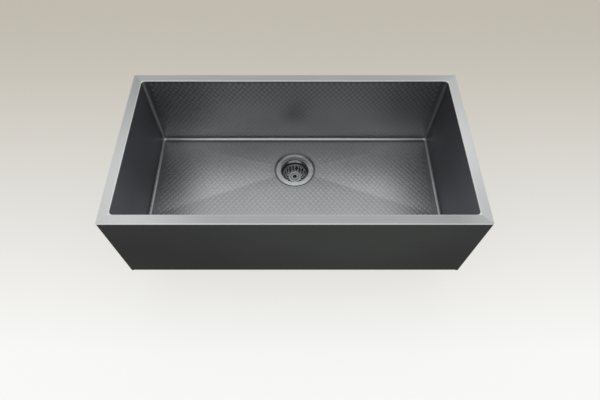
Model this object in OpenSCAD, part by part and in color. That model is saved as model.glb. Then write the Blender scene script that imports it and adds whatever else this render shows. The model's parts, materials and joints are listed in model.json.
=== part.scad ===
// Farmhouse apron front kitchen sink in stainless sheet, with its basket strainer.
// +X right, +Y back, +Z up. The origin is at the centre of the bowl's opening, on the
// underside of the rim, which is the face that rests on the cabinet.

/* [Rim and bowl] */
// Width of the bowl's opening, left to right
opening_w = 863.6; // [700:0.1:1000]
// Depth of the bowl's opening, back to front
opening_d = 431.8; // [400:0.1:520]
// Width of the flat rim on all four sides
rim_w = 25.4; // [20:0.1:40]
// Thickness of the hemmed rim
rim_t = 3; // [2.5:0.1:5]
// Rounding of the rim's upper edges
rim_edge_r = 1.5; // [0.5:0.1:2]
// Rounding of the rim's outer corners, seen from above
rim_corner_r = 3; // [2.5:0.1:6]
// Depth of the bowl, from the rim's top to the edge of the floor
bowl_h = 254; // [200:1:280]
// Inner radius of the bowl's corners and bends
bowl_r = 10; // [6:0.5:20]
// Thickness of the bowl's sheet
sheet_t = 1.5; // [1:0.1:2]

/* [Floor] */
// Fall of the floor from its edge to the drain
floor_fall = 8; // [5:0.5:12]
// Distance from the bowl's back wall to the drain's axis
drain_back = 120; // [110:1:180]
// Distance in front of the drain's axis at which the fall starts
fall_front = 170; // [120:1:200]
// Radius of the round recess that the strainer sits in
recess_r = 65; // [62:0.5:75]
// Drop of the recess below the lowest point of the floor's slopes
recess_drop = 3.5; // [0.5:0.1:5]
// Radius of the drain hole
drain_hole_r = 44.75; // [44.3:0.05:46]

/* [Apron] */
// Height of the apron, from the rim's top to its lower edge
apron_h = 270; // [240:1:300]
// Thickness of the apron's sheet
apron_t = 1.5; // [1:0.1:2]
// Outer radius of the apron's bends
apron_bend_r = 3; // [2.5:0.1:6]
// Depth of the apron's side returns
side_return = 50; // [40:1:80]
// Depth of the apron's bottom return
bottom_return = 18; // [12:0.5:20]
// Gap between the bottom return's ends and the side returns
return_relief = 6; // [4:0.5:12]
// Radius of the screw holes in the side returns
screw_hole_r = 2.75; // [2:0.05:4]
// Distance from the apron's face to the screw holes
screw_setback = 30; // [20:1:36]
// Depth of the upper screw hole below the rim's underside
screw_top = 57; // [40:1:80]
// Distance between the two screw holes
screw_pitch = 140; // [100:1:150]

/* [Stiffeners] */
// Thickness of the hat stiffeners' sheet
stiff_t = 1.2; // [0.8:0.1:2]
// Width of a stiffener's crown
stiff_crown = 44; // [30:1:60]
// Width of each of a stiffener's feet
stiff_foot = 16; // [10:1:25]
// Distance of each stiffener from the middle
stiff_x = 235; // [215:1:280]
// Distance of a stiffener's upper end below the rim's underside
stiff_top = 25; // [10:1:40]
// Length of a stiffener
stiff_len = 205; // [150:1:210]

/* [Sound pads] */
// Thickness of the rubber sound pads
pad_t = 3; // [2:0.5:5]
// Radius of the pads' corners
pad_r = 14; // [5:1:25]
// Width of each floor pad
floor_pad_w = 270; // [150:1:300]
// Depth of each floor pad
floor_pad_d = 280; // [150:1:340]
// Distance from the drain's axis line to each floor pad's near edge
floor_pad_x = 95; // [85:1:110]
// Width of the back wall's pad
back_pad_w = 520; // [200:1:600]
// Width of the pads between the bowl and the apron
front_pad_w = 320; // [150:1:340]
// Width of the end walls' pads
end_pad_w = 250; // [120:1:320]
// Height of the wall pads
wall_pad_h = 140; // [60:1:150]
// Distance of the wall pads' upper edges below the rim's underside
wall_pad_top = 60; // [30:1:70]

/* [Strainer] */
// Outer radius of the strainer's flange
flange_r = 59; // [56:0.5:61]
// Thickness of the strainer's sheet
strainer_t = 1.5; // [1:0.1:1.8]
// Inner radius of the strainer's throat
throat_r = 42; // [41.5:0.1:42.2]
// Rounding where the flange turns down into the throat
throat_edge_r = 4; // [3:0.1:4.2]
// Depth of the strainer's cup below its flange
cup_h = 58; // [54:0.5:75]
// Outer radius of the cup's lower corner
cup_corner_r = 12; // [8:0.5:14]
// Outer radius of the outlet spigot
outlet_r = 23.9; // [20:0.1:26]
// Wall of the outlet spigot
outlet_t = 2; // [1.2:0.1:3]
// Length of the outlet spigot below the cup's floor
outlet_l = 35; // [28:1:60]
// Thickness of the flange's gasket
gasket_t = 0.8; // [0.5:0.1:1.5]
// Thickness of the rubber washer under the sink
washer_t = 3; // [2:0.1:5]
// Thickness of the friction ring under the washer
ring_t = 1; // [0.5:0.1:2]
// Outer radius of the washer and the friction ring
washer_r = 58; // [54:0.5:61]
// Height of the locknut
locknut_h = 10; // [7:0.5:16]
// Outer radius of the locknut's ring
locknut_r = 51; // [48:0.5:53]
// Outer radius of the locknut's lugs
lug_r = 58; // [55:0.5:61]
// Width of each lug
lug_w = 14; // [8:0.5:20]
// Number of lugs on the locknut
lug_count = 6; // [4:1:8]

/* [Basket] */
// Radius of the basket's wall at its rim
basket_r = 37.5; // [34:0.5:38.5]
// Slope of the basket's wall from upright, in degrees
basket_taper = 8; // [4:0.5:12]
// Outer radius of the round corner between the basket's wall and bottom
basket_corner_r = 14; // [10:0.5:16]
// Number of facets that the basket's corner is pressed in
corner_facets = 5; // [4:1:8]
// Height of the basket
basket_h = 32; // [24:0.5:36]
// Thickness of the basket's sheet
basket_t = 1; // [0.6:0.1:1.2]
// Radius of the basket's rolled lip
lip_r = 1.4; // [1.2:0.1:2]
// Number of sides that the lip is rolled in
lip_sides = 8; // [8:4:16]
// Number of slots round the basket
slot_count = 20; // [12:1:22]
// Width of each slot
slot_w = 4; // [2.5:0.1:4.4]
// Height of plain wall above the slots
slot_land = 4; // [2.5:0.1:6]
// Distance from the axis at which the slots start, on the basket's bottom
slot_in_r = 17; // [16:0.5:19]
// Number of holes in the basket's bottom
hole_count = 8; // [6:1:12]
// Radius of each hole in the basket's bottom
hole_r = 1.8; // [1:0.1:2.4]
// Radius of the circle that the bottom's holes lie on
hole_ring_r = 12; // [11:0.5:13]
// Depth of the knob's face below the basket's lip
knob_drop = 15; // [10:0.5:16]
// Outer radius of the knob
knob_r = 21; // [15:0.5:22]
// Thickness of the knob's disc
knob_t = 5; // [3:0.1:7]
// Radius of the knob's neck
knob_neck_r = 8; // [7.5:0.1:10]
// Length of the knob's neck
knob_neck_h = 6; // [4:0.1:9]
// Width of the knob's raised rim
knob_rim_w = 5; // [3:0.1:6]
// Depth of the dish inside the knob's rim
knob_dish_h = 1.2; // [0.5:0.1:2]
// Radius of the boss in the middle of the knob's dish
knob_boss_r = 9; // [8:0.1:11]
// Radius of the dimple in the knob's boss
dimple_r = 5.4; // [3:0.1:7]
// Depth of the dimple below the knob's rim
dimple_h = 3.6; // [2.1:0.1:4.2]
// Radius of the post above the basket's bottom
post_r = 5.5; // [4.8:0.1:6]
// Radius of the post's lower end
pin_r = 3.5; // [2.5:0.1:3.8]
// Radius of the rubber stopper
seal_r = 27.5; // [25.5:0.1:28.5]
// Thickness of the rubber stopper
seal_t = 4; // [3:0.1:6]
// Width across the flats of the nut under the stopper
nut_flats = 13; // [11:0.1:16]
// Height of the nut under the stopper
nut_h = 4; // [2.5:0.1:5]
// Outer radius of the hub that holds the post's clip
hub_r = 8; // [7:0.1:10]
// Height of the hub
hub_h = 8; // [6:0.5:12]
// Bore radius of the hub
hub_bore_r = 5.4; // [5.2:0.1:6]
// Width of the cross bar's arms
bar_w = 4; // [2:0.1:6]
// Height of the cross bar's arms
bar_h = 3; // [2:0.1:5]
// Depth of the hub's top below the cup's floor
hub_drop = 7; // [6:0.1:10]
// Length of the post's clip
clip_h = 9; // [6:0.1:10]

/* [Clearances] */
// Gap between a part that lifts out and what it rests on
rest_gap = 0.3; // [0.2:0.05:0.5]
// Radial clearance of the post in the basket's bottom
running_gap = 0.05; // [0.02:0.01:0.1]
// Radial clearance of rings round the strainer's thread
thread_gap = 0.3; // [0.1:0.05:0.6]
// Radial clearance of the clip in its hub
clip_gap = 0.5; // [0.3:0.05:0.8]

/* [Hidden] */
$fn = 72;
// Overrun of every cut past the face that it opens
over = 1;
sink_w = opening_w + 2 * rim_w;
sink_d = opening_d + 2 * rim_w;
half_w = opening_w / 2;
half_d = opening_d / 2;
// Where the flat floor and walls end and the bends start
span_x = half_w - bowl_r;
span_y = half_d - bowl_r;
floor_z = rim_t - bowl_h;
bend_z = floor_z + bowl_r;
wall_face_x = half_w + sheet_t;
wall_face_y = half_d + sheet_t;
// Depth of the blocks that cut the floor's slopes
block_h = 5 * floor_fall;
drain_y = half_d - drain_back;
fall_y = drain_y - fall_front;
seat_z = floor_z - floor_fall - recess_drop;
face_y = -sink_d / 2;
apron_in_y = face_y + apron_t;
apron_z = rim_t - apron_h;
stiff_depth = -wall_face_y - apron_in_y;
// Levels of the strainer, from its flange down
flange_under = seat_z + gasket_t;
flange_top = flange_under + strainer_t;
thread_r = throat_r + strainer_t;
cup_floor = flange_top - cup_h;
cup_bend_r = thread_r - cup_corner_r;
cup_bend_z = cup_floor - strainer_t + cup_corner_r;
outlet_bore_r = outlet_r - outlet_t;
ring_bore_r = thread_r + thread_gap;
gasket_bore_r = throat_r + throat_edge_r;
washer_top = seat_z - sheet_t;
ring_top = washer_top - washer_t;
nut_top = ring_top - ring_t;
// Levels of the basket and its post, from the cup's floor up and down
seal_z = cup_floor + rest_gap;
basket_z = seal_z + seal_t + rest_gap;
basket_top = basket_z + basket_h;
shoulder_z = basket_z + basket_t + rest_gap;
knob_top = basket_top + lip_r - knob_drop;
knob_z = knob_top - knob_t - knob_neck_h;
post_top = knob_z + knob_neck_h;
hub_top = cup_floor - hub_drop;
clip_r = hub_bore_r - clip_gap;
clip_top = hub_top + rest_gap;
clip_z = clip_top - clip_h;
pin_end = clip_z - running_gap;

// A plate with round corners, centred, lying on z = 0
module round_plate(w, d, h, r) {
    linear_extrude(height = h) {
        square([w - 2 * r, d], center = true);
        square([w, d - 2 * r], center = true);
        for (sx = [-1, 1], sy = [-1, 1]) translate([sx * (w / 2 - r), sy * (d / 2 - r)]) circle(r = r);
    }
}

// A ring between two radii, from z up
module ring(r_in, r_out, z, h) {
    translate([0, drain_y, z]) difference() {
        cylinder(r = r_out, h = h);
        translate([0, 0, -over]) cylinder(r = r_in, h = h + 2 * over);
    }
}

// A quarter of a bent sheet: the part of a ring that lies beyond its centre on both axes
module bend_section(r_in, r_out, sx, sy) {
    intersection() {
        difference() {
            circle(r = r_out);
            circle(r = r_in);
        }
        scale([sx, sy]) square(r_out + over);
    }
}

// Runs a section drawn in y and z along x, between two places
module along_x(x0, x1) {
    translate([x0, 0, 0]) rotate([90, 0, 90]) linear_extrude(height = x1 - x0) children();
}

// Everything below the floor's four slopes, lowered by a drop
module below_floor(drop) {
    translate([0, 0, floor_z - drop]) {
        translate([0, span_y, 0]) rotate([90, 0, 0]) linear_extrude(height = 2 * span_y)
            polygon([[-span_x, 0], [0, -floor_fall], [span_x, 0], [span_x, -block_h], [-span_x, -block_h]]);
        along_x(-span_x, span_x)
            polygon([
                [span_y, 0], [drain_y, -floor_fall], [fall_y, 0], [-span_y, 0],
                [-span_y, -block_h], [span_y, -block_h]
            ]);
    }
}

// The sheet that makes the back wall, the floor and the front wall
module bowl_wrap() {
    color("dimgray") difference() {
        union() {
            difference() {
                below_floor(0);
                below_floor(sheet_t);
            }
            // the recess's wall and seat, trimmed by the slopes
            intersection() {
                translate([0, drain_y, seat_z - sheet_t]) cylinder(r = recess_r + sheet_t, h = block_h);
                below_floor(0);
            }
            for (sy = [-1, 1]) {
                along_x(-span_x, span_x) translate([sy * span_y, bend_z])
                    bend_section(bowl_r, bowl_r + sheet_t, sy, -1);
                translate([-span_x, sy > 0 ? half_d : -wall_face_y, bend_z])
                    cube([2 * span_x, sheet_t, -bend_z]);
            }
        }
        translate([0, drain_y, seat_z]) cylinder(r = recess_r, h = block_h);
        translate([0, drain_y, seat_z - sheet_t - over]) cylinder(r = drain_hole_r, h = sheet_t + 2 * over);
    }
}

// The rounded end of the bowl's space, grown outwards by a wall
module end_form(grow, top) {
    r = bowl_r + grow;
    intersection() {
        union() {
            translate([span_x - over, -span_y, bend_z]) cube([r + over, 2 * span_y, top - bend_z]);
            translate([span_x, span_y, bend_z]) rotate([90, 0, 0]) cylinder(r = r, h = 2 * span_y);
            for (sy = [-1, 1]) translate([span_x, sy * span_y, bend_z]) {
                cylinder(r = r, h = top - bend_z);
                sphere(r = r);
            }
        }
        translate([span_x, -half_d - r, floor_z - r])
            cube([2 * r, opening_d + 2 * r, top - floor_z + 2 * r]);
    }
}

// An end of the bowl: a smooth plate with three bent edges and two dished corners
module end_wall() {
    color("dimgray") difference() {
        end_form(sheet_t, 0);
        translate([-over, 0, 0]) end_form(0, over);
        end_form(0, over);
    }
}

module left_end_wall() {
    mirror([1, 0, 0]) end_wall();
}

module right_end_wall() {
    end_wall();
}

// The section of the rim's rounded edge, from its outermost point inwards
module edge_section() {
    square([rim_edge_r, rim_t - rim_edge_r]);
    intersection() {
        translate([rim_edge_r, rim_t - rim_edge_r]) circle(r = rim_edge_r);
        square([rim_edge_r, rim_t]);
    }
}

// The flat hemmed rim round the bowl
module rim_deck() {
    in_w = opening_w + 2 * rim_edge_r;
    in_d = opening_d + 2 * rim_edge_r;
    out_w = sink_w - 2 * rim_edge_r;
    out_d = sink_d - 2 * rim_edge_r;
    core_r = rim_corner_r - rim_edge_r;
    color("silver") {
        difference() {
            round_plate(out_w, out_d, rim_t, core_r);
            translate([0, 0, -over]) round_plate(in_w, in_d, rim_t + 2 * over, bowl_r + rim_edge_r);
        }
        for (turn = [0, 180]) rotate([0, 0, turn]) {
            // inner edges, and outer edges facing the other way
            translate([half_w, span_y, 0]) rotate([90, 0, 0]) linear_extrude(height = 2 * span_y)
                edge_section();
            translate([-span_x, half_d, 0]) rotate([90, 0, 90]) linear_extrude(height = 2 * span_x)
                edge_section();
            translate([sink_w / 2, rim_corner_r - sink_d / 2, 0]) rotate([90, 0, 180])
                linear_extrude(height = sink_d - 2 * rim_corner_r) edge_section();
            translate([sink_w / 2 - rim_corner_r, sink_d / 2, 0]) rotate([90, 0, -90])
                linear_extrude(height = sink_w - 2 * rim_corner_r) edge_section();
        }
        for (sx = [0, 1], sy = [0, 1]) mirror([sx, 0, 0]) mirror([0, sy, 0]) {
            translate([span_x, span_y, 0]) rotate_extrude(angle = 90) translate([bowl_r, 0]) edge_section();
            translate([sink_w / 2 - rim_corner_r, sink_d / 2 - rim_corner_r, 0]) rotate_extrude(angle = 90)
                translate([rim_corner_r, 0]) mirror([1, 0]) edge_section();
        }
    }
}

// The apron's plan section: its front, its two bends and its side returns
module apron_plan() {
    bend_in = apron_bend_r - apron_t;
    for (sx = [-1, 1]) {
        translate([sx * (sink_w / 2 - apron_bend_r), face_y + apron_bend_r])
            bend_section(bend_in, apron_bend_r, sx, -1);
        translate([sx > 0 ? sink_w / 2 - apron_t : -sink_w / 2, face_y + apron_bend_r])
            square([apron_t, side_return - apron_bend_r]);
    }
    translate([apron_bend_r - sink_w / 2, face_y]) square([sink_w - 2 * apron_bend_r, apron_t]);
}

// The front apron, folded back at its sides and its lower edge
module apron_panel() {
    lip_x = sink_w / 2 - apron_t - return_relief;
    color("darkslategray") {
        difference() {
            translate([0, 0, apron_z]) linear_extrude(height = -apron_z) apron_plan();
            translate([-lip_x, face_y - over, apron_z - over])
                cube([2 * lip_x, side_return, apron_bend_r + over]);
            for (sx = [-1, 1], k = [0, 1])
                translate([sx * sink_w / 2, face_y + screw_setback, -screw_top - k * screw_pitch])
                    rotate([0, 90, 0]) cylinder(r = screw_hole_r, h = 4 * apron_t, center = true);
        }
        along_x(-lip_x, lip_x) {
            translate([face_y + apron_bend_r, apron_z + apron_bend_r])
                bend_section(apron_bend_r - apron_t, apron_bend_r, -1, -1);
            translate([face_y + apron_bend_r, apron_z]) square([bottom_return - apron_bend_r, apron_t]);
        }
    }
}

// Two hat sections that tie the apron to the bowl's front wall
module apron_stiffeners() {
    color("gray") for (sx = [-1, 1])
        translate([sx * stiff_x, apron_in_y, -stiff_top - stiff_len]) linear_extrude(height = stiff_len) {
            translate([-stiff_crown / 2, stiff_depth - stiff_t]) square([stiff_crown, stiff_t]);
            for (side = [0, 1]) mirror([side, 0]) {
                translate([stiff_crown / 2 - stiff_t, 0]) square([stiff_t, stiff_depth]);
                translate([stiff_crown / 2 - stiff_t, 0]) square([stiff_foot + stiff_t, stiff_t]);
            }
        }
}

// Pads under the floor, following its slopes
module floor_pads() {
    color("black") for (sx = [-1, 1]) intersection() {
        translate([sx * (floor_pad_x + floor_pad_w / 2), 0, floor_z - block_h])
            round_plate(floor_pad_w, floor_pad_d, block_h, pad_r);
        difference() {
            below_floor(sheet_t);
            below_floor(sheet_t + pad_t);
        }
    }
}

// A pad that stands on a wall that faces the front, its back on y = 0
module wall_pad(w) {
    translate([0, 0, -wall_pad_top - wall_pad_h / 2]) rotate([90, 0, 0]) round_plate(w, wall_pad_h, pad_t, pad_r);
}

module back_wall_pad() {
    color("black") translate([0, wall_face_y + pad_t, 0]) wall_pad(back_pad_w);
}

module front_wall_pad() {
    color("black") translate([0, -wall_face_y, 0]) wall_pad(front_pad_w);
}

module apron_pad() {
    color("black") translate([0, apron_in_y + pad_t, 0]) wall_pad(front_pad_w);
}

module left_end_pad() {
    color("black") translate([-wall_face_x, 0, 0]) rotate([0, 0, -90]) wall_pad(end_pad_w);
}

module right_end_pad() {
    color("black") translate([wall_face_x, 0, 0]) rotate([0, 0, 90]) wall_pad(end_pad_w);
}

// The strainer's stamped cup, from its flange to the hole over its outlet
module strainer_body() {
    color("slategray") translate([0, drain_y, 0]) rotate_extrude() {
        flat_r = throat_r + throat_edge_r;
        // flange with a round edge
        translate([flat_r, flange_under]) square([flange_r - strainer_t / 2 - flat_r, strainer_t]);
        translate([flange_r - strainer_t / 2, flange_under + strainer_t / 2]) circle(r = strainer_t / 2);
        translate([flat_r, flange_top - throat_edge_r])
            bend_section(throat_edge_r - strainer_t, throat_edge_r, -1, 1);
        translate([throat_r, cup_bend_z]) square([strainer_t, flange_top - throat_edge_r - cup_bend_z]);
        translate([cup_bend_r, cup_bend_z]) bend_section(cup_corner_r - strainer_t, cup_corner_r, 1, -1);
        translate([outlet_bore_r, cup_floor - strainer_t]) square([cup_bend_r - outlet_bore_r, strainer_t]);
    }
}

// The threaded spigot welded under the cup, which takes the trap
module outlet_spigot() {
    color("slategray") ring(outlet_bore_r, outlet_r, cup_floor - outlet_l, outlet_l - strainer_t);
}

module flange_gasket() {
    color("dimgray") ring(gasket_bore_r, flange_r - strainer_t, seat_z, gasket_t);
}

module rubber_washer() {
    color("black") ring(ring_bore_r, washer_r, ring_top, washer_t);
}

module friction_ring() {
    color("tan") ring(ring_bore_r, washer_r, nut_top, ring_t);
}

// The locknut under the sink, a ring with lugs to turn it by
module locknut() {
    color("gainsboro") translate([0, drain_y, nut_top - locknut_h]) difference() {
        union() {
            cylinder(r = locknut_r, h = locknut_h);
            intersection() {
                for (k = [0 : lug_count - 1]) rotate([0, 0, k * 360 / lug_count])
                    translate([0, -lug_w / 2, 0]) cube([lug_r + over, lug_w, locknut_h]);
                cylinder(r = lug_r, h = locknut_h);
            }
        }
        translate([0, 0, -over]) cylinder(r = ring_bore_r, h = locknut_h + 2 * over);
    }
}

// The cross in the outlet, whose hub takes the post's clip
module cross_bar() {
    color("slategray") translate([0, drain_y, 0]) difference() {
        union() {
            translate([0, 0, hub_top - hub_h]) cylinder(r = hub_r, h = hub_h);
            intersection() {
                for (turn = [0, 90]) rotate([0, 0, turn])
                    translate([-outlet_r, -bar_w / 2, hub_top - (hub_h + bar_h) / 2])
                        cube([2 * outlet_r, bar_w, bar_h]);
                translate([0, 0, hub_top - hub_h]) cylinder(r = outlet_bore_r - running_gap, h = hub_h);
            }
        }
        translate([0, 0, hub_top - hub_h - over]) cylinder(r = hub_bore_r, h = hub_h + 2 * over);
    }
}

// The space that the basket fills, as a section: a flat bottom, a corner pressed in facets and a
// tapered wall
module basket_form(inset) {
    lean = [sin(basket_taper), cos(basket_taper)];
    square_to = [cos(basket_taper), -sin(basket_taper)];
    wall_len = (basket_h - basket_corner_r * (1 - lean[0])) / lean[1];
    centre = [basket_r - basket_corner_r * square_to[0] - wall_len * lean[0], basket_corner_r];
    r = basket_corner_r - inset;
    turn = (90 - basket_taper) / corner_facets;
    corner = [for (k = [0 : corner_facets]) centre + r * [sin(k * turn), -cos(k * turn)]];
    polygon(concat([[0, inset]], corner, [centre + square_to * r + lean * wall_len, [0, basket_h]]));
}

// The basket's lip as a section with flat sides, each lip_r from the middle
module lip_form() {
    turn = 360 / lip_sides;
    corner_r = lip_r / cos(turn / 2);
    polygon([for (k = [0 : lip_sides - 1]) corner_r * [cos((k + 0.5) * turn), sin((k + 0.5) * turn)]]);
}

// The basket that catches the scraps, with slots that run down its wall and under its corner
module basket_shell() {
    color("lightslategray") translate([0, drain_y, basket_z]) difference() {
        rotate_extrude() {
            difference() {
                basket_form(0);
                basket_form(basket_t);
                translate([-over, -over]) square([pin_r + running_gap + over, basket_h]);
            }
            translate([basket_r - basket_t / 2, basket_h]) lip_form();
        }
        for (k = [0 : slot_count - 1]) rotate([0, 0, (k + 0.5) * 360 / slot_count])
            translate([slot_in_r, -slot_w / 2, -over])
                cube([basket_r, slot_w, basket_h - slot_land + over]);
        for (k = [0 : hole_count - 1]) rotate([0, 0, k * 360 / hole_count])
            translate([hole_ring_r, 0, -over]) cylinder(r = hole_r, h = basket_t + 2 * over);
    }
}

// The post that carries the knob above the basket and the stopper below it
module basket_post() {
    color("lightslategray") translate([0, drain_y, 0]) {
        translate([0, 0, pin_end]) cylinder(r = pin_r, h = shoulder_z - pin_end);
        translate([0, 0, shoulder_z]) cylinder(r = post_r, h = post_top - shoulder_z);
    }
}

// The knob: a dished disc with a dimpled boss, on a short neck
module basket_knob() {
    rim_r = knob_t / 2;
    face_h = knob_neck_h + knob_t;
    color("silver") translate([0, drain_y, knob_z]) rotate_extrude() difference() {
        union() {
            square([knob_neck_r, knob_neck_h + rim_r]);
            translate([0, knob_neck_h]) square([knob_r - rim_r, knob_t]);
            translate([knob_r - rim_r, knob_neck_h + rim_r]) circle(r = rim_r);
        }
        translate([-over, -over]) square([post_r + running_gap + over, knob_neck_h + over]);
        translate([knob_boss_r, face_h - knob_dish_h]) square([knob_r - knob_rim_w - knob_boss_r, knob_dish_h + over]);
        translate([-over, face_h - dimple_h]) square([dimple_r + over, dimple_h + over]);
    }
}

// The rubber stopper that closes the outlet
module stopper_seal() {
    edge_r = seal_t / 2;
    color("black") translate([0, drain_y, seal_z]) rotate_extrude() {
        translate([pin_r + running_gap, 0]) square([seal_r - edge_r - pin_r - running_gap, seal_t]);
        translate([seal_r - edge_r, edge_r]) circle(r = edge_r);
    }
}

// The nut that holds the stopper up against the basket
module stopper_nut() {
    color("silver") translate([0, drain_y, seal_z - nut_h]) difference() {
        intersection_for (turn = [0, 60, 120]) rotate([0, 0, turn])
            translate([-nut_flats, -nut_flats / 2, 0]) cube([2 * nut_flats, nut_flats, nut_h]);
        translate([0, 0, -over]) cylinder(r = pin_r + running_gap, h = nut_h + 2 * over);
    }
}

// The clip that snaps into the cross bar's hub
module spring_clip() {
    color("silver") translate([0, drain_y, clip_z]) difference() {
        cylinder(r = clip_r, h = clip_h);
        translate([0, 0, -over]) cylinder(r = pin_r + running_gap, h = clip_h + 2 * over);
    }
}

bowl_wrap();
left_end_wall();
right_end_wall();
rim_deck();
apron_panel();
apron_stiffeners();
floor_pads();
back_wall_pad();
front_wall_pad();
apron_pad();
left_end_pad();
right_end_pad();
strainer_body();
outlet_spigot();
flange_gasket();
rubber_washer();
friction_ring();
locknut();
cross_bar();
basket_shell();
basket_post();
basket_knob();
stopper_seal();
stopper_nut();
spring_clip();
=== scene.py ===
# %% [markdown]
# A farmhouse apron front sink in stainless sheet, looked down on over its front edge.
# The construction is already there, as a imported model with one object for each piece.
# This file dresses it: it adds the camera, the studio, the finish of every surface and the
# shapes that are too fine for the construction, such as the embossed pattern and the threads.

# %% Load the construction
import json
import math

import bpy
import bmesh
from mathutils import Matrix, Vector

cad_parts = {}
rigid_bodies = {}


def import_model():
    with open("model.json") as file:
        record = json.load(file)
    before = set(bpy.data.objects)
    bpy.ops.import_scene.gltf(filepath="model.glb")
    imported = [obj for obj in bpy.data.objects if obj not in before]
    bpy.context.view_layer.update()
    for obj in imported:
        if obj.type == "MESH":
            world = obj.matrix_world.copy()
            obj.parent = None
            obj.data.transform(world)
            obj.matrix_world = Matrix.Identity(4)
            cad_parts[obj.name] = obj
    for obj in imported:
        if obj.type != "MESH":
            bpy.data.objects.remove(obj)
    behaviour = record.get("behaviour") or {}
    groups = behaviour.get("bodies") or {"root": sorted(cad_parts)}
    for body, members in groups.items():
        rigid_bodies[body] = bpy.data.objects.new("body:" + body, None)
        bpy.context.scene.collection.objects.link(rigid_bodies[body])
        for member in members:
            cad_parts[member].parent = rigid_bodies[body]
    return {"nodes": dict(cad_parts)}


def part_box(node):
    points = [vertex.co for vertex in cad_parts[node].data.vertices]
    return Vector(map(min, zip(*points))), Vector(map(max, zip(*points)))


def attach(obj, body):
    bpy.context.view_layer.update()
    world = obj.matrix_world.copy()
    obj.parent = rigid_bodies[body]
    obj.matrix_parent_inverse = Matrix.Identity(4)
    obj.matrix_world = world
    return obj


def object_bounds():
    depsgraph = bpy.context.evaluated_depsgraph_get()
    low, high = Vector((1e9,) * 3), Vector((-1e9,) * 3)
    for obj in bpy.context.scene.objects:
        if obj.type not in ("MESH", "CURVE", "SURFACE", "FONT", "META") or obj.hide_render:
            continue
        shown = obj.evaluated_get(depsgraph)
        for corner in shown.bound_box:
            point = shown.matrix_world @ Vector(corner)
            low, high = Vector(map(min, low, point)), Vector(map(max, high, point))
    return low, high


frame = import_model()
nodes = frame["nodes"]
cad_low, cad_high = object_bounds()
cad_size = [round(v, 4) for v in cad_high - cad_low]
MM = 0.001
print("the construction has", len(nodes), "pieces and measures", cad_size)

# %% [markdown]
# Nearly every size is read off the construction, so that a piece made here sits on what
# carries it. The rim gives the outside, the end walls give the bowl, and the strainer's
# box gives the drain's axis. Only what no box can show is written here: the thickness of
# the sheet, the radius of its bends, and how far to each side of the middle the finishes
# of the left and the right half run into each other.

# %% Read the sizes that the pieces share
rim_low, rim_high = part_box("rim_deck")
end_low, end_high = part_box("right_end_wall")
flange_low, flange_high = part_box("strainer_body")
spigot_low, spigot_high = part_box("outlet_spigot")
apron_low, apron_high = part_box("apron_panel")
nut_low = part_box("locknut")[0]
basket_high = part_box("basket_shell")[1]
knob_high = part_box("basket_knob")[1]
SHEET = 1.5 * MM
BEND = 10 * MM
MIDDLE = 100 * MM
HALF_W = end_high.x - SHEET
HALF_D = end_high.y - SHEET
FLOOR = end_low.z + SHEET
RIM_TOP = rim_high.z
FLANGE_R = flange_high.x
FLANGE_TOP = flange_high.z
DRAIN = Vector((0, (flange_low.y + flange_high.y) / 2, FLANGE_TOP))
print("bowl half width", round(HALF_W, 4), "and half depth", round(HALF_D, 4))
print("floor's edge at", round(FLOOR, 4), "and drain at", [round(v, 4) for v in DRAIN])

# %% [markdown]
# The photograph looks down steeply over the apron, from about a metre away, along the
# sink's middle. The camera is placed from the middle of the rim's front edge: so far back
# along the line of sight, and so far above that edge in the picture. A very small shift
# puts the sink's middle where the photograph has it, a little left of the frame's centre.

# %% Place the camera
VIEW_DOWN = math.radians(58.5)
EDGE_DISTANCE = 1.026
EDGE_DROP = 0.0551
PHOTO_WIDTH = 600
FOCAL_PIXELS = 449
AXIS_PIXELS_LEFT = 5.2
SENSOR_WIDTH = 36

look = Vector((0, math.cos(VIEW_DOWN), -math.sin(VIEW_DOWN)))
up = Vector((0, math.sin(VIEW_DOWN), math.cos(VIEW_DOWN)))
front_edge = Vector((0, rim_low.y, RIM_TOP))
camera_data = bpy.data.cameras.new("camera")
camera_data.sensor_width = SENSOR_WIDTH
camera_data.lens = FOCAL_PIXELS / PHOTO_WIDTH * SENSOR_WIDTH
camera_data.shift_x = AXIS_PIXELS_LEFT / PHOTO_WIDTH
camera = bpy.data.objects.new("camera", camera_data)
bpy.context.scene.collection.objects.link(camera)
camera.location = front_edge - EDGE_DISTANCE * look + EDGE_DROP * up
camera.rotation_euler = (math.pi / 2 - VIEW_DOWN, 0, 0)
bpy.context.scene.camera = camera
bpy.context.scene.view_settings.view_transform = "Standard"
print("camera at", [round(v, 3) for v in camera.location], "lens", round(camera_data.lens, 1), "mm")

# %% [markdown]
# Shader maths reads best as Python. One small class wraps a socket of a material's nodes:
# its operators add Math nodes, and one method adds any other node. A colour or a vector
# goes through Mix or Vector Math instead, because a Math node would turn it grey.

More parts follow.
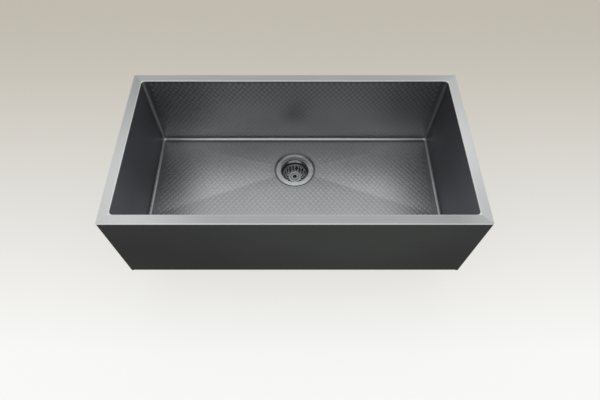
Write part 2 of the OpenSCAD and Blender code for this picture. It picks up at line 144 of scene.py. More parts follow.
# %% A class for shader maths
class Shade:
    """One output of a material's nodes, with Python's operators on it."""

    def __init__(self, tree, socket=None):
        self.tree = tree
        self.socket = socket

    def add(self, kind, settings=None, sockets=None, out=0):
        """Adds a node: its settings come first, then the values or links of its sockets."""
        node = self.tree.nodes.new(kind)
        for name, value in (settings or {}).items():
            setattr(node, name, value)
        for name, value in (sockets or {}).items():
            if isinstance(value, Shade):
                self.tree.links.new(value.socket, node.inputs[name])
            else:
                node.inputs[name].default_value = value
        return Shade(self.tree, node.outputs[out])

    def maths(self, operation, *values):
        return self.add("ShaderNodeMath", {"operation": operation}, dict(enumerate(values)))

    def __add__(self, other):
        return self.maths("ADD", self, other)

    def __radd__(self, other):
        return self.maths("ADD", other, self)

    def __sub__(self, other):
        return self.maths("SUBTRACT", self, other)

    def __rsub__(self, other):
        return self.maths("SUBTRACT", other, self)

    def __mul__(self, other):
        return self.maths("MULTIPLY", self, other)

    def __rmul__(self, other):
        return self.maths("MULTIPLY", other, self)

    def __truediv__(self, other):
        return self.maths("DIVIDE", self, other)

    def size(self):
        return self.maths("ABSOLUTE", self)

    def at_least(self, other):
        return self.maths("MAXIMUM", self, other)

    def at_most(self, other):
        return self.maths("MINIMUM", self, other)

    def ramp(self, low, high, start=0.0, end=1.0):
        """Goes smoothly from start to end as this value goes from low to high."""
        ends = {"Value": self, "From Min": low, "From Max": high, "To Min": start, "To Max": end}
        return self.add("ShaderNodeMapRange", {"interpolation_type": "SMOOTHSTEP"}, ends)

    def times(self, share):
        """A colour made lighter or darker by a number."""
        return self.add("ShaderNodeVectorMath", {"operation": "SCALE"}, {0: self, "Scale": share})

    def mix(self, first, second):
        """Mixes two colours, with this value as the share of the second."""
        colours = {0: self, 6: as_colour(first), 7: as_colour(second)}
        return self.add("ShaderNodeMix", {"data_type": "RGBA"}, colours, out=2)


def as_colour(colour):
    """A colour as its socket takes it: a link, or red, green and blue with an alpha of 1."""
    return colour if isinstance(colour, Shade) else (*colour, 1)


# %% [markdown]
# A finish is a function that builds one material. They all start the same way, from a
# Principled shader and the piece's own object coordinates in metres, and they end by
# linking what varies over the surface and setting what doesn't on the shader's sockets.
# The helpers here give what several finishes ask for: noise of a given size, the distance
# from an upright axis, the side of the sink, and which way a face looks.

# %% Helpers for finishes
def tone(red, green, blue):
    """A colour given as it looks on a screen, 0 to 255, as the linear values that shaders use."""
    def linear(level):
        share = level / 255
        return share / 12.92 if share <= 0.04045 else ((share + 0.055) / 1.055) ** 2.4
    return tuple(linear(level) for level in (red, green, blue))


def start_finish(name):
    """A new material: returns it, its shader node and a Shade to add nodes with."""
    finish = bpy.data.materials.new(name)
    finish.use_nodes = True
    shader = finish.node_tree.nodes["Principled BSDF"]
    return finish, shader, Shade(finish.node_tree)


def places(s):
    """The piece's own coordinates, as a vector and as x, y and z."""
    vector = s.add("ShaderNodeTexCoord", out=3)
    parts = vector.add("ShaderNodeSeparateXYZ", None, {0: vector}).socket.node
    return vector, *(Shade(s.tree, parts.outputs[k]) for k in range(3))


def noise(s, vector, scale, detail=2.0, roughness=0.5, stretch=(1, 1, 1)):
    """Cloudy noise from 0 to 1. The scale is in cells per metre, stretched along each axis."""
    moved = s.add("ShaderNodeMapping", None, {"Vector": vector, "Scale": stretch})
    settings = {"Vector": moved, "Scale": scale, "Detail": detail, "Roughness": roughness}
    return s.add("ShaderNodeTexNoise", None, settings)


def from_axis(s, x, y, axis):
    """How far each point lies from an upright axis."""
    across, along = x - axis.x, y - axis.y
    return s.maths("SQRT", across * across + along * along)


def left_to_right(x, left, right):
    """One number on the left of the sink and one on the right, blended across its middle."""
    return x.ramp(-MIDDLE, MIDDLE, left, right)


def looks_away(s, vector, middle):
    """1 on faces that look away from a point, and 0 on faces that look towards it."""
    normal = s.add("ShaderNodeNewGeometry", out=1)
    away = s.add("ShaderNodeVectorMath", {"operation": "SUBTRACT"}, {0: vector, 1: middle})
    facing = s.add("ShaderNodeVectorMath", {"operation": "DOT_PRODUCT"}, {0: normal, 1: away}, out=1)
    return facing.ramp(0, MM)


def finish_with(shader, height=None, depth=0.1 * MM, **looks):
    """Links what varies, such as base_color=a Shade, and sets what is the same all over."""
    tree = shader.id_data
    for name, value in looks.items():
        socket = shader.inputs[name.replace("_", " ").title()]
        if isinstance(value, Shade):
            tree.links.new(value.socket, socket)
        else:
            socket.default_value = value
    if height is not None:
        sockets = {"Height": height, "Distance": depth, "Strength": 1.0}
        bump = height.add("ShaderNodeBump", None, sockets)
        tree.links.new(bump.socket, shader.inputs["Normal"])


def use(finish, *names):
    """Gives the construction's nodes a finish."""
    for name in names:
        slots = nodes[name].data.materials
        slots.clear()
        slots.append(finish)
    print(finish.name, "is on", ", ".join(names))


# %% [markdown]
# Stainless sheet gets its grain from an abrasive belt, so fine scratches run one way. On
# the rim they run along each side and meet at the corners in a mitre. Noise that is
# stretched about eighty times along the side gives the scratches; the same noise varies
# the roughness. Light and shade are painted into the colour too, each side with its own
# run: the left one is painted dark at the back, the front one dark in its middle, and all
# edges carry a painted highlight. A light's ramps end in two shares, where 0 is the
# painted shade and 1 is the painted light.

# %% Brushed steel of the rim
RIM_PAINTED_SHADE = tone(139, 141, 142)
RIM_PAINTED_LIGHT = tone(217, 219, 217)
RIM_EDGE_HIGHLIGHT = tone(226, 228, 228)
SCRATCHES = 900
SCRATCH_STRETCH = 0.012
MITRE = 0.4 * MM
CORNER_X = 360 * MM


def brushed_rim():
    finish, shader, s = start_finish("brushed_rim_steel")
    vector, x, y = places(s)[:3]
    past_width, past_depth = x.size() - HALF_W, y.size() - HALF_D
    on_side = (past_width - past_depth).ramp(-MITRE, MITRE)
    on_front = y.ramp(MIDDLE, -MIDDLE)
    along_width = noise(s, vector, SCRATCHES, detail=3, stretch=(SCRATCH_STRETCH, 1, 1))
    along_depth = noise(s, vector, SCRATCHES, detail=3, stretch=(1, SCRATCH_STRETCH, 1))
    grain = along_width * (1 - on_side) + along_depth * on_side
    clouds = noise(s, vector, 5, detail=2)
    on_right = left_to_right(x, 0, 1)
    # Painted light and shade: each side of the rim gets its own run of it.
    left_light = y.ramp(HALF_D, -0.6 * HALF_D, 0.34, 0.73)
    right_light = y.ramp(HALF_D, 0, 0.72, 0.84) - y.ramp(0, -HALF_D, 0, 0.24)
    side_light = left_light * (1 - on_right) + right_light * on_right
    front_light = x.ramp(-150 * MM, -rim_high.x, 0.12, 0.7) + x.ramp(CORNER_X, rim_high.x, 0, 0.3)
    back_light = x.size().ramp(0, rim_high.x, 0.38, 0.46) + x.ramp(CORNER_X, rim_high.x, 0, 0.15)
    level_light = front_light * on_front + back_light * (1 - on_front)
    light = side_light * on_side + level_light * (1 - on_side)
    light = light + (grain - 0.5) * 0.25 + (clouds - 0.5) * 0.1
    grain_and_painted_light = light.at_least(0).at_most(1).mix(RIM_PAINTED_SHADE, RIM_PAINTED_LIGHT)
    # A painted highlight along the rim's inner and outer edges.
    to_inner = past_width.at_least(past_depth)
    to_outer = (rim_high.x - x.size()).at_most(rim_high.y - y.size())
    edge = to_inner.at_most(to_outer).ramp(2.4 * MM, 1 * MM, 0, 0.6)
    colour = edge.mix(grain_and_painted_light, RIM_EDGE_HIGHLIGHT)
    roughness = grain.ramp(0.2, 0.8, 0.3, 0.42)
    finish_with(shader, grain, 0.03 * MM, base_color=colour, roughness=roughness, metallic=1.0)
    return finish


use(brushed_rim(), "rim_deck")

# %% [markdown]
# The bowl's light and shade change from place to place, and here they are painted into
# the sheet's colour. Four slopes lead the water to the drain, each with its own painted
# shade: the back one is the darkest, and creases part them. The end walls are painted
# darker towards the back, and a painted highlight with a painted dark line on each side
# runs along the bends. The studio's light is soft and plain, so these are worked out
# from the place on the sink, as shares of the sheet's own tone, where 1 leaves it as it is.

# %% Painted light and shade of the bowl
RECESS_R = 65 * MM
FALL_FRONT = 170 * MM
CREASE = 0.01


def bend_lines(x, y, z, run):
    """1 along the middle of the bowl's bends, where highlight and shade are painted. A short run
    reaches out to their ends.
    """
    past_side = (x.size() - (HALF_W - BEND)).ramp(0, run)
    past_back = (y.size() - (HALF_D - BEND)).ramp(0, run)
    past_floor = (FLOOR + BEND - z).ramp(0, run)
    upright = past_side * past_back * left_to_right(x, 0.45, 0.12)
    weaker_behind = y.ramp(20 * MM, 120 * MM, 0, 0.15) * left_to_right(x, 1, 2)
    level = past_side * past_floor * (0.9 - weaker_behind)
    return (upright + level + past_back * past_floor).at_most(1)


# Painted shade on the floor's slopes and far ends.
def slope_shade(x, y):
    """How light each part of the floor is. The back slope and the far ends are darker."""
    across = x.size() / (HALF_W - BEND)
    on_back = ((y - DRAIN.y) / (HALF_D - BEND - DRAIN.y) - across).ramp(-CREASE, CREASE)
    on_front = ((DRAIN.y - y) / FALL_FRONT - across).ramp(-CREASE, CREASE)
    back_drop = on_back * x.size().ramp(150 * MM, 360 * MM, 0.23, 0)
    at_ends = x.size().ramp(240 * MM, 370 * MM, 0, 0.83) * left_to_right(x, 1, 0.78)
    forward = y.ramp(210 * MM, 50 * MM, 0, 0.64) - y.ramp(20 * MM, -50 * MM, 0, 0.22)
    return (1 - back_drop - on_front * 0.06) * (1 - at_ends * forward)


# Painted shade on the walls, darkest on the right end towards the back.
def wall_shade(x, y, z):
    """How light each part of the walls is. The right end is the darkest, towards the back."""
    to_sides = 1 + x.size().ramp(0.6 * HALF_W, HALF_W, 0, 0.08)
    long_wall = to_sides * z.ramp(0.6 * FLOOR, FLOOR, 0.96, 1.16)
    end_wall = 1.1 - y.ramp(-HALF_D, 0.4 * HALF_D) * left_to_right(x, 0.28, 0.46)
    end_wall = end_wall * z.ramp(0.8 * FLOOR, 0.4 * FLOOR, 1, 0.86)
    on_end = x.size().ramp(HALF_W - BEND, HALF_W - BEND / 2)
    return long_wall + (end_wall - long_wall) * on_end


def sheet_shade(x, y, z, near_top):
    """The whole sheet's share of painted light, with a band of painted shade in front of the back bend.
    """
    on_floor = z.ramp(FLOOR + 2 * BEND, FLOOR + BEND)
    shade = wall_shade(x, y, z) * z.ramp(0.7 * FLOOR, 0.1 * FLOOR, 1, near_top)
    # A band of painted shade on the floor in front of the back bend.
    at_back = y.ramp(HALF_D - BEND - 8 * MM, HALF_D - BEND - 1 * MM, 0, 0.5)
    back_bend_shade = at_back * z.ramp(FLOOR + 3 * MM, FLOOR)
    return (shade + (slope_shade(x, y) - shade) * on_floor) * (1 - back_bend_shade)


print("the floor's slopes meet round a recess of radius", RECESS_R)

# %% [markdown]
# The bowl is one sheet with a satin grain, and its end walls are smoother and painted a
# darker tone as shade. Both are bare metal inside and sprayed with a grey coat outside,
# which keeps them from sweating and ringing. The finish tells inside from outside by which
# way a face looks: away from the middle of the bowl or towards it. The tops of the embossed
# lozenges are a little lighter than the sheet between them, and near the rim the tops get
# a painted highlight and the sheet between them painted shade, so the pattern shows there
# although it is only a tenth of a millimetre high.

# %% Steel of the bowl
BOWL_MIDDLE = (0, 0, FLOOR / 2)
ALONG_WIDTH = (0.05, 1, 1)
ALONG_DEPTH = (1, 0.05, 1)
BEND_SHADE_DARK = tone(48, 49, 50)
BEND_SHADE_GREY = tone(108, 110, 112)
BEND_HIGHLIGHT = tone(210, 212, 214)
RECESS_SHADE = tone(112, 114, 116)
RECESS_HIGHLIGHT = tone(180, 182, 184)
SPRAY_DARK = tone(116, 118, 118)
SPRAY_LIGHT = tone(134, 136, 135)
SPRAY_ROUGHNESS = 0.8


def bare_metal(s, x, y, z, sheet, near_top):
    """The inside's colour: the sheet with its painted shade, the painted highlight and shade along its
    bends, and the drain's recess in painted shade.
    """
    sheet_with_painted_shade = sheet.times(sheet_shade(x, y, z, near_top))
    # A painted dark line at each end of a bend, and a painted highlight along its middle.
    bend_shade = z.ramp(FLOOR + 0.2 * BEND, FLOOR + 0.6 * BEND).mix(BEND_SHADE_DARK, BEND_SHADE_GREY)
    with_bend_shade = bend_lines(x, y, z, BEND / 6).mix(sheet_with_painted_shade, bend_shade)
    with_bend_highlight = (bend_lines(x, y, z, BEND) * 1.5).at_most(1).mix(with_bend_shade, BEND_HIGHLIGHT)
    # The drain's recess is painted dark as shade, and lighter at its back as a painted highlight.
    in_recess = from_axis(s, x, y, DRAIN).ramp(RECESS_R + SHEET / 2, RECESS_R - SHEET)
    recess = ((y - DRAIN.y) / RECESS_R).ramp(0.6, 0.95).mix(RECESS_SHADE, RECESS_HIGHLIGHT)
    return in_recess.mix(with_bend_highlight, recess)


def bowl_sheet(name, dark, light, rough_low, rough_high, grain_stretch, near_top=1):
    """The last value is the sheet's share of painted light near the top of the walls: above 1 lighter,
    below 1 darker.
    """
    finish, shader, s = start_finish(name)
    vector, x, y, z = places(s)
    outside = looks_away(s, vector, BOWL_MIDDLE)
    grain = noise(s, vector, 700, detail=2, stretch=grain_stretch)
    clouds = noise(s, vector, 4, detail=3)
    spatter = noise(s, vector, 420, detail=3, roughness=0.6)
    sheet = (grain * 0.35 + clouds * 0.65).ramp(0.25, 0.75).mix(dark, light)
    metal = bare_metal(s, x, y, z, sheet, near_top)
    spray = spatter.ramp(0.3, 0.7).mix(SPRAY_DARK, SPRAY_LIGHT)
    colour = outside.mix(metal, spray)
    satin = (grain * 0.5 + clouds * 0.5).ramp(0.2, 0.8, rough_low, rough_high)
    roughness = satin + (SPRAY_ROUGHNESS - satin) * outside
    height = grain * 0.05 * (1 - outside) + spatter * outside
    finish_with(
        shader, height, 0.4 * MM,
        base_color=colour, roughness=roughness, metallic=0.95 * (1 - outside),
    )
    return finish


# Near the rim the lozenge tops get a painted highlight and the sheet between them painted shade.
raised_finish = bowl_sheet(
    "raised_steel", tone(162, 164, 165), tone(175, 177, 178), 0.34, 0.42, ALONG_WIDTH, near_top=1.08,
)
bowl_finish = bowl_sheet(
    "patterned_steel", tone(156, 158, 159), tone(169, 171, 172), 0.34, 0.42, ALONG_WIDTH, near_top=0.76,
)
# The end walls' darker tone is painted shade.
end_finish = bowl_sheet(
    "smooth_dark_steel", tone(138, 137, 144), tone(149, 148, 156), 0.44, 0.5, ALONG_DEPTH,
)
use(bowl_finish, "bowl_wrap")
use(end_finish, "left_end_wall", "right_end_wall")

# %% [markdown]
# The apron is dark gunmetal with a dull sheen, on its front and on the outside of its folded
# sides. Shade is painted on it: it is darker at its lower edge and ends than along its top
# and middle. The side that faces the bowl is left plain.

# %% Steel of the apron
APRON_LIGHT = tone(66, 68, 67)
APRON_DARK = tone(53, 54, 54)
PLAIN_BACK = tone(120, 122, 124)
DULL_TINT = (0.6, 0.6, 0.6, 1)


def apron_sheet():
    finish, shader, s = start_finish("apron_steel")
    vector, x, _, z = places(s)
    grain = noise(s, vector, 700, detail=2, stretch=(0.03, 1, 1))
    clouds = noise(s, vector, 3, detail=3)
    # Painted shade: darker downwards and towards the ends.
    downward = z.ramp(0, apron_low.z)
    to_ends = x.ramp(MIDDLE, apron_low.x, 0, 0.7) + x.ramp(2 * MIDDLE, apron_high.x, 0, 0.4)
    painted_shade_and_grain = downward * 0.55 + to_ends + (clouds - 0.5) * 0.5 + (grain - 0.5) * 0.4
    front = painted_shade_and_grain.ramp(0, 1).mix(APRON_LIGHT, APRON_DARK)
    outside = looks_away(s, vector, (0, 0, (apron_low.z + apron_high.z) / 2))
    colour = outside.mix(PLAIN_BACK, front)
    roughness = (grain * 0.5 + clouds * 0.5).ramp(0.2, 0.8, 0.4, 0.48)
    finish_with(
        shader, grain, 0.015 * MM,
        base_color=colour, roughness=roughness, metallic=1.0, specular_tint=DULL_TINT,
    )
    return finish


use(apron_sheet(), "apron_panel")

# %% [markdown]
# Shade is painted on the drain where it lies in shade: in the groove and the dimple of the
# knob, on the basket's lip and down inside the cup. The back of the flange's inner edge gets
# a painted dark reflection, and two edges at the back a painted highlight. Each mark is a
# function of the distance from the drain's axis, of how far behind the axis a point lies,
# and of its height.

# %% Painted shade and highlights of the drain
KNOB_BOSS_R = 9 * MM
KNOB_DISH_R = 16 * MM
DIMPLE_R = 5.4 * MM
THROAT_R = 42 * MM
FACE_DEPTH = 4 * MM
SOFT = 0.4 * MM


def on_face(z, top):
    """1 on a piece's upper face, and 0 a few millimetres below its top."""
    return z.ramp(top - FACE_DEPTH - SOFT, top - FACE_DEPTH)


def in_throat(radius):
    """1 on the inside of the cup's wall, and 0 further out."""
    return radius.ramp(THROAT_R + 2 * SOFT, THROAT_R + SOFT)


# Painted shade in the knob's groove and dimple.
def knob_painted_shade(radius, behind, z):
    groove = radius.ramp(KNOB_DISH_R, KNOB_DISH_R - 0.6 * MM, 0, 0.35)
    groove = groove * radius.ramp(KNOB_BOSS_R, KNOB_BOSS_R + 0.6 * MM)
    dimple = radius.ramp(DIMPLE_R + 1.4 * MM, DIMPLE_R + 0.6 * MM, 0, 0.95)
    return groove.at_least(dimple) * on_face(z, knob_high.z)


# Painted shade on the basket's lip, under the flange.
def lip_painted_shade(radius, behind, z):
    return z.ramp(basket_high.z - 6 * MM, basket_high.z - 2 * MM, 0, 0.6)


# Painted shade down inside the cup, and a painted dark reflection at the back of the flange's inner
# edge.
def cup_painted_shade(radius, behind, z):
    over_floor = z.ramp(spigot_high.z, spigot_high.z + 1 * MM)
    downward = z.ramp(FLANGE_TOP - 3 * MM, FLANGE_TOP - 7 * MM, 0, 0.55)
    wall = in_throat(radius) * over_floor * downward
    edge = radius.ramp(FLANGE_R - 2 * MM, THROAT_R + 3 * MM) * on_face(z, FLANGE_TOP)
    return wall.at_least(edge * (behind / radius).ramp(0.1, 0.9, 0, 0.75))


# Painted highlights on the flange's outer edge and the top of the throat, at the back.
def strainer_painted_highlight(radius, behind, z):
    edge = radius.ramp(0.95 * FLANGE_R, 0.98 * FLANGE_R)
    below_flange = z.ramp(FLANGE_TOP - FACE_DEPTH, FLANGE_TOP - 6 * MM)
    over_basket = z.ramp(FLANGE_TOP - 18 * MM, FLANGE_TOP - 14 * MM)
    throat = in_throat(radius) * below_flange * over_basket
    return edge.at_least(throat) * (behind / radius).ramp(0.8, 0.95)


print("flange's radius", round(FLANGE_R, 4), "and throat's radius", THROAT_R)

# %% [markdown]
# The drain's pieces are turned on a lathe, which leaves fine rings round the drain's axis.
# Noise that sees only the distance from the axis and the height gives them. The painted
# shade and highlights are mixed in over them, and a painted highlight is less metallic, so
# that it stays light where there is little to reflect.

# %% Turned steel of the drain
SHADE_TONE = tone(40, 42, 43)
HIGHLIGHT_TONE = tone(252, 252, 252)


def turned_metal(name, dark, light, roughness, metallic=0.9, painted_shade=None, painted_highlight=None):
    finish, shader, s = start_finish(name)
    vector, x, y, z = places(s)
    radius = from_axis(s, x, y, DRAIN)
    ring = s.add("ShaderNodeCombineXYZ", None, {0: radius, 2: z})
    marks = noise(s, ring, 1400, detail=3)
    clouds = noise(s, vector, 60, detail=3)
    colour = (marks * 0.5 + clouds * 0.5).ramp(0.25, 0.75).mix(dark, light)
    # Painted shade and painted highlights go over the turned rings.
    if painted_shade:
        colour = painted_shade(radius, y - DRAIN.y, z).mix(colour, SHADE_TONE)
    if painted_highlight:
        share = painted_highlight(radius, y - DRAIN.y, z)
        colour = share.mix(colour, HIGHLIGHT_TONE)
        metallic = (1 - share * 0.9) * metallic
    dullness = (marks * 0.5 + clouds * 0.5).ramp(0.2, 0.8, roughness - 0.05, roughness + 0.07)
    finish_with(shader, marks, 0.02 * MM, base_color=colour, roughness=dullness, metallic=metallic)
    return finish


knob_finish = turned_metal(
    "knob_steel", tone(196, 198, 199), tone(218, 220, 221), 0.24, painted_shade=knob_painted_shade,
)
basket_finish = turned_metal(
    "basket_steel", tone(214, 216, 216), tone(232, 234, 234), 0.26, 0.75, painted_shade=lip_painted_shade,
)
strainer_finish = turned_metal(
    "strainer_steel", tone(186, 189, 192), tone(204, 208, 210), 0.28,
    painted_shade=cup_painted_shade, painted_highlight=strainer_painted_highlight,
)
use(knob_finish, "basket_knob")
use(basket_finish, "basket_shell", "basket_post")
use(strainer_finish, "strainer_body", "outlet_spigot", "cross_bar")

# %% [markdown]
# The other small pieces are plain metal, rubber or pressed fibre. Metal keeps faint clouds,
# like handling marks; rubber and fibre have a fine grit that also roughens them.

# %% Plain metal, rubber and fibre
def plain_metal(name, dark, light, roughness):
    finish, shader, s = start_finish(name)
    vector = places(s)[0]
    clouds = noise(s, vector, 60, detail=4)
    colour = clouds.ramp(0.3, 0.7).mix(dark, light)
    dullness = clouds.ramp(0.2, 0.8, roughness - 0.05, roughness + 0.07)
    finish_with(shader, clouds, 0.02 * MM, base_color=colour, roughness=dullness, metallic=1.0)
    return finish


def grit(name, dark, light, speckle=900):
    finish, shader, s = start_finish(name)
    vector = places(s)[0]
    grains = noise(s, vector, speckle, detail=2)
    colour = grains.ramp(0.3, 0.7).mix(dark, light)
    dullness = grains.ramp(0.2, 0.8, 0.7, 0.9)
    finish_with(shader, grains, 0.1 * MM, base_color=colour, roughness=dullness)
    return finish


plain_finish = plain_metal("plain_steel", tone(176, 177, 178), tone(196, 197, 198), 0.32)
nut_finish = plain_metal("cast_nut", tone(170, 172, 174), tone(192, 194, 195), 0.5)
pad_finish = grit("pad_rubber", tone(44, 44, 46), tone(58, 58, 60))
seal_finish = grit("seal_rubber", tone(28, 28, 28), tone(38, 38, 38), 1500)
fibre_finish = grit("ring_fibre", tone(150, 118, 80), tone(176, 144, 104), 600)
use(plain_finish, "apron_stiffeners", "stopper_nut", "spring_clip")
use(nut_finish, "locknut")
use(
    pad_finish, "floor_pads", "back_wall_pad", "front_wall_pad", "apron_pad",
    "left_end_pad", "right_end_pad",
)
use(seal_finish, "flange_gasket", "rubber_washer", "stopper_seal")
use(fibre_finish, "friction_ring")

# %% [markdown]
# New pieces are modelled with the operators that a hand would use. An operator acts on all
# that is selected, and the construction's nodes are selected after loading, so each piece
# starts by deselecting everything. Its modifiers are applied at the end, so that the mesh
# itself has the shape.

# %% Helpers for modelling
def deselect():
    """Makes the next operator leave all that is there alone."""
    bpy.ops.object.select_all(action="DESELECT")


def apply_all(piece):
    """Applies a piece's modifiers in their order."""
    bpy.context.view_layer.objects.active = piece
    for modifier in list(piece.modifiers):
        bpy.ops.object.modifier_apply(modifier=modifier.name)


# %% [markdown]
# The bowl's sheet is embossed with a lattice of small lozenges, each about 16 mm wide and
# 20 mm long, with every second row shifted by half. They could be a bump in the material,
# but a raised edge catches the light in its own way and shows in the mesh, so they are
# modelled. One lozenge is a low cone with four sides and a flat crown, and its foot is sunk
# into the sheet. It is repeated by Array modifiers, and a second lattice is laid in the
# gaps of the first. Crown and foot are kept as vertex groups for the floor.

# %% Model a lattice of lozenges
LOZENGE = Vector((16 * MM, 20 * MM))
GROOVE_SHARE = 0.92
CROWN_SHARE = 0.72
CROWN_H = 0.1 * MM
FOOT_H = 0.08 * MM


def lozenge_lattice(name, columns, rows):
    """A staggered lattice of lozenges round the origin, lying on z = 0."""
    deselect()
    bpy.ops.mesh.primitive_cone_add(
        vertices=4, radius1=0.5, radius2=0.5 * CROWN_SHARE, depth=CROWN_H + FOOT_H,
        location=(0, 0, (CROWN_H - FOOT_H) / 2),
    )
    piece = bpy.context.object
    piece.name = name
    bpy.ops.object.mode_set(mode="EDIT")
    bpy.ops.mesh.select_all(action="SELECT")
    bpy.ops.transform.resize(value=(LOZENGE.x * GROOVE_SHARE, LOZENGE.y * GROOVE_SHARE, 1))
    bpy.ops.object.mode_set(mode="OBJECT")
    bpy.ops.object.transform_apply(location=True, rotation=True, scale=True)
    for key, level in (("crown", CROWN_H), ("foot", -FOOT_H)):
        at_level = [v.index for v in piece.data.vertices if abs(v.co.z - level) < CROWN_H / 4]
        piece.vertex_groups.new(name=key).add(at_level, 1.0, "REPLACE")
    bpy.ops.object.duplicate()
    between = bpy.context.object
    for lattice, across, along in ((piece, columns, rows), (between, columns - 1, rows - 1)):
        for count, step in ((across, (LOZENGE.x, 0, 0)), (along, (0, LOZENGE.y, 0))):
            array = lattice.modifiers.new("array", "ARRAY")
            array.count = count
            array.use_relative_offset = False
            array.use_constant_offset = True
            array.constant_offset_displace = step
        lattice.location = (-(across - 1) * LOZENGE.x / 2, -(along - 1) * LOZENGE.y / 2, 0)
        apply_all(lattice)
    deselect()
    between.select_set(True)
    piece.select_set(True)
    bpy.context.view_layer.objects.active = piece
    bpy.ops.object.join()
    bpy.ops.object.transform_apply(location=True, rotation=True, scale=True)
    bpy.ops.object.shade_smooth_by_angle(angle=math.radians(40))
    print(name, "has", columns * rows + (columns - 1) * (rows - 1), "lozenges")
    return piece


# %% [markdown]
# The two upright walls are flat, so their lattices only have to be stood up and moved to
# the wall. Each row count is as many lozenges as fit between the rim and the bend.

# %% Emboss the back and front walls
COLUMNS = int(2 * (HALF_W - BEND) / LOZENGE.x)
WALL_ROWS = int((-FLOOR - BEND) / LOZENGE.y)


def emboss_wall(name, side):
    piece = lozenge_lattice(name, COLUMNS, WALL_ROWS)
    piece.rotation_euler = (math.pi / 2 * side, 0, 0)
    piece.location = (0, side * HALF_D, (FLOOR + BEND) / 2)
    bpy.ops.object.transform_apply(location=True, rotation=True, scale=True)
    piece.data.materials.append(raised_finish)
    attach(piece, "sink")


emboss_wall("back_wall_emboss", 1)
emboss_wall("front_wall_emboss", -1)

# %% [markdown]
# The floor falls to the drain in four slopes, so its lattice is made flat above it and then
# dropped on it with Shrinkwrap, which flattens the lozenges too. Two Displace modifiers
# bring their shape back: the crowns go up and the feet go down into the sheet. Lozenges
# that touch the drain's round recess are deleted first.

# %% Emboss the floor
FLOOR_ROWS = int(2 * (HALF_D - BEND) / LOZENGE.y)

floor_emboss = lozenge_lattice("floor_emboss", COLUMNS, FLOOR_ROWS)
floor_emboss.location = (0, 0, FLOOR + BEND)
bpy.ops.object.transform_apply(location=True, rotation=True, scale=True)
bpy.ops.object.mode_set(mode="EDIT")
bpy.ops.mesh.select_mode(type="VERT")
bpy.ops.mesh.select_all(action="DESELECT")
mesh = bmesh.from_edit_mesh(floor_emboss.data)
for vertex in mesh.verts:
    vertex.select_set((vertex.co.xy - DRAIN.xy).length < RECESS_R + SHEET)
bmesh.update_edit_mesh(floor_emboss.data)
bpy.ops.mesh.select_linked()
bpy.ops.mesh.delete(type="VERT")
bpy.ops.object.mode_set(mode="OBJECT")

drop = floor_emboss.modifiers.new("drop", "SHRINKWRAP")
drop.target = nodes["bowl_wrap"]
drop.wrap_method = "PROJECT"
drop.use_project_z = True
drop.use_negative_direction = True
drop.use_positive_direction = False
for group, height in (("crown", CROWN_H), ("foot", -FOOT_H)):
    lift = floor_emboss.modifiers.new(group, "DISPLACE")
    lift.direction = "Z"
    lift.mid_level = 0
    lift.strength = height
    lift.vertex_group = group
apply_all(floor_emboss)
floor_emboss.data.materials.append(raised_finish)
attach(floor_emboss, "sink")
levels = [v.co.z for v in floor_emboss.data.vertices]
print("floor lozenges lie from", round(min(levels), 4), "to", round(max(levels), 4))

# %% [markdown]
# Under the sink, the strainer's cup and its outlet have threads, for the locknut and for
# the nut of the trap. A thread is one triangle that a Screw modifier winds up the cylinder.
# The triangle's base lies just inside the wall, so nothing shows between thread and wall.

# %% Cut the threads
PITCH = 2.2 * MM
THREAD_SHARE = 0.5
STEPS_A_TURN = 72


def thread(name, radius, low, high):
    turns = int((high - low) / PITCH)
    deselect()
    bpy.ops.mesh.primitive_circle_add(
        vertices=3, radius=PITCH * THREAD_SHARE, fill_type="NOTHING",
        rotation=(math.pi / 2, math.pi / 2, 0),
    )
    piece = bpy.context.object
    piece.name = name
    bpy.ops.object.transform_apply(location=True, rotation=True, scale=True)
    bpy.ops.object.mode_set(mode="EDIT")
    bpy.ops.mesh.select_all(action="SELECT")
    bpy.ops.transform.resize(value=(THREAD_SHARE, 1, 1), center_override=(0, 0, 0))
    bpy.ops.transform.translate(value=(radius, 0, 0))
    bpy.ops.object.mode_set(mode="OBJECT")
    screw = piece.modifiers.new("screw", "SCREW")
    screw.screw_offset = PITCH
    screw.iterations = turns
    screw.steps = screw.render_steps = STEPS_A_TURN
    apply_all(piece)
    bpy.ops.object.mode_set(mode="EDIT")
    bpy.ops.mesh.select_all(action="SELECT")
    bpy.ops.mesh.fill_holes(sides=3)
    bpy.ops.mesh.normals_make_consistent(inside=False)
    bpy.ops.object.mode_set(mode="OBJECT")
    piece.location = (DRAIN.x, DRAIN.y, low)
    bpy.ops.object.transform_apply(location=True, rotation=True, scale=True)
    bpy.ops.object.shade_smooth_by_angle(angle=math.radians(30))
    piece.data.materials.append(strainer_finish)
    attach(piece, "sink")
    print(name, "has", turns, "turns at radius", round(radius, 4))


below_nut = [v.co for v in nodes["strainer_body"].data.vertices if v.co.z < nut_low.z]
cup_r = max((co.xy - DRAIN.xy).length for co in below_nut)
thread("cup_thread", cup_r, nut_low.z - 8 * PITCH, nut_low.z - PITCH)
thread("outlet_thread", spigot_high.x, spigot_low.z + PITCH, spigot_low.z + 9 * PITCH)

# %% [markdown]
# Where the bowl meets the underside of the rim, a weld runs all the way round. Its path is
# a rectangle with round corners, which becomes a curve with a round section. Every second
# point of the path is thinner, and that gives the bead its scales.

# %% Weld the bowl to the rim
BEAD_R = 1.6 * MM
BEAD_STEP = 1.5 * MM
NECK_SHARE = 0.8


def select_longer(piece, length):
    """In edit mode, selects just the edges that are longer than this."""
    mesh = bmesh.from_edit_mesh(piece.data)
    bpy.ops.mesh.select_all(action="DESELECT")
    for edge in mesh.edges:
        edge.select_set(edge.calc_length() > length)
    bmesh.update_edit_mesh(piece.data)


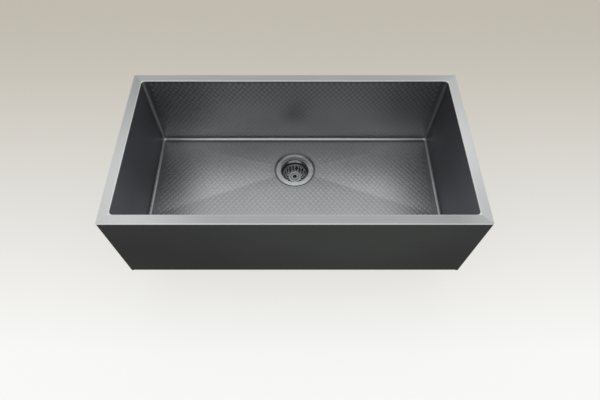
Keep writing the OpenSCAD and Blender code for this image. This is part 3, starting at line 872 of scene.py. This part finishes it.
def weld_bead(name, half_w, half_d, corner, level):
    deselect()
    bpy.ops.mesh.primitive_plane_add(size=2)
    piece = bpy.context.object
    piece.name = name
    bpy.ops.object.mode_set(mode="EDIT")
    bpy.ops.mesh.select_mode(type="EDGE")
    bpy.ops.mesh.select_all(action="SELECT")
    bpy.ops.transform.resize(value=(half_w, half_d, 1))
    bpy.ops.transform.translate(value=(0, 0, level))
    bpy.ops.mesh.bevel(offset=corner, offset_type="OFFSET", segments=8, affect="VERTICES")
    bpy.ops.mesh.delete(type="ONLY_FACE")
    for length in (2 * (half_w - corner), 2 * (half_d - corner)):
        select_longer(piece, length * 0.9)
        bpy.ops.mesh.subdivide(number_cuts=int(length / BEAD_STEP) // 2)
    bpy.ops.object.mode_set(mode="OBJECT")
    bpy.ops.object.convert(target="CURVE")
    piece = bpy.context.object
    piece.data.bevel_depth = BEAD_R
    piece.data.bevel_resolution = 1
    for spline in piece.data.splines:
        for k, point in enumerate(spline.points):
            point.radius = 1 if k % 2 else NECK_SHARE
    bpy.ops.object.convert(target="MESH")
    bpy.ops.object.shade_smooth_by_angle(angle=math.radians(60))
    piece.data.materials.append(plain_finish)
    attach(piece, "sink")
    print(name, "has", len(piece.data.polygons), "faces")


weld_bead("rim_weld", HALF_W + SHEET, HALF_D + SHEET, BEND + SHEET, rim_low.z)

# %% [markdown]
# The studio is a pale floor under the sink. To the camera and in the metal's reflections it
# is a warm grey that runs to near white towards the front, as the photograph's backdrop
# does. Most of that is a glow, and the rest is lit by the lamps, which keeps the sink's soft
# shadow. Far away it fades to a plain grey like the world's.

# %% Lay the studio floor
FRONT_WHITE = tone(252, 252, 250)
BACK_GREY = tone(196, 190, 178)
FAR_GREY = tone(214, 215, 216)
GLOW_SHARE = 0.8
GROUND = cad_low.z - 0.5 * MM

deselect()
bpy.ops.mesh.primitive_plane_add(size=24, location=(0, 0, GROUND))
floor = bpy.context.object
floor.name = "studio_floor"
floor_finish, floor_shader, s = start_finish("studio_floor")
x, y = places(s)[1:3]
near = y.ramp(-2, 1.1, -1, 1).mix(FRONT_WHITE, BACK_GREY)
backdrop = from_axis(s, x, y, Vector((0, 0, 0))).ramp(2.2, 8).mix(near, FAR_GREY)
finish_with(floor_shader, base_color=backdrop, roughness=0.9)
rays = s.add("ShaderNodeLightPath").socket.node
by_camera = Shade(s.tree, rays.outputs["Is Camera Ray"])
by_gloss = Shade(s.tree, rays.outputs["Is Glossy Ray"])
seen = by_camera.at_least(by_gloss)
glow = s.add("ShaderNodeEmission", None, {"Color": backdrop, "Strength": 1.0})
lit = Shade(s.tree, floor_shader.outputs[0])
both = s.add("ShaderNodeMixShader", None, {0: seen * GLOW_SHARE, 1: lit, 2: glow})
s.tree.links.new(both.socket, s.tree.nodes["Material Output"].inputs["Surface"])
floor.data.materials.append(floor_finish)
print("studio floor at", round(GROUND, 4))

# %% [markdown]
# The light is soft and comes from all round: a pale world, one large lamp above and behind
# the sink, and a smaller one in front, at a level at which white stays below clipping.

# %% Light the studio
WORLD_COLOUR = (0.985, 0.99, 1, 1)
WORLD_STRENGTH = 0.68
AIM = Vector((0, 0, -100 * MM))


def lamp(name, place, width, depth, watts):
    """A rectangular lamp that looks into the bowl."""
    data = bpy.data.lights.new(name, "AREA")
    data.shape = "RECTANGLE"
    data.size, data.size_y = width, depth
    data.energy = watts
    made = bpy.data.objects.new(name, data)
    bpy.context.scene.collection.objects.link(made)
    made.location = place
    made.rotation_euler = (AIM - Vector(place)).to_track_quat("-Z", "Y").to_euler()


world = bpy.data.worlds.new("studio")
bpy.context.scene.world = world
world.use_nodes = True
background = world.node_tree.nodes["Background"]
background.inputs["Color"].default_value = WORLD_COLOUR
background.inputs["Strength"].default_value = WORLD_STRENGTH
lamp("overhead", (0, 0.8, 2.4), 3.2, 2.2, 15.5)
lamp("front_fill", (-0.4, -2.4, 1.6), 2.4, 1.6, 12)
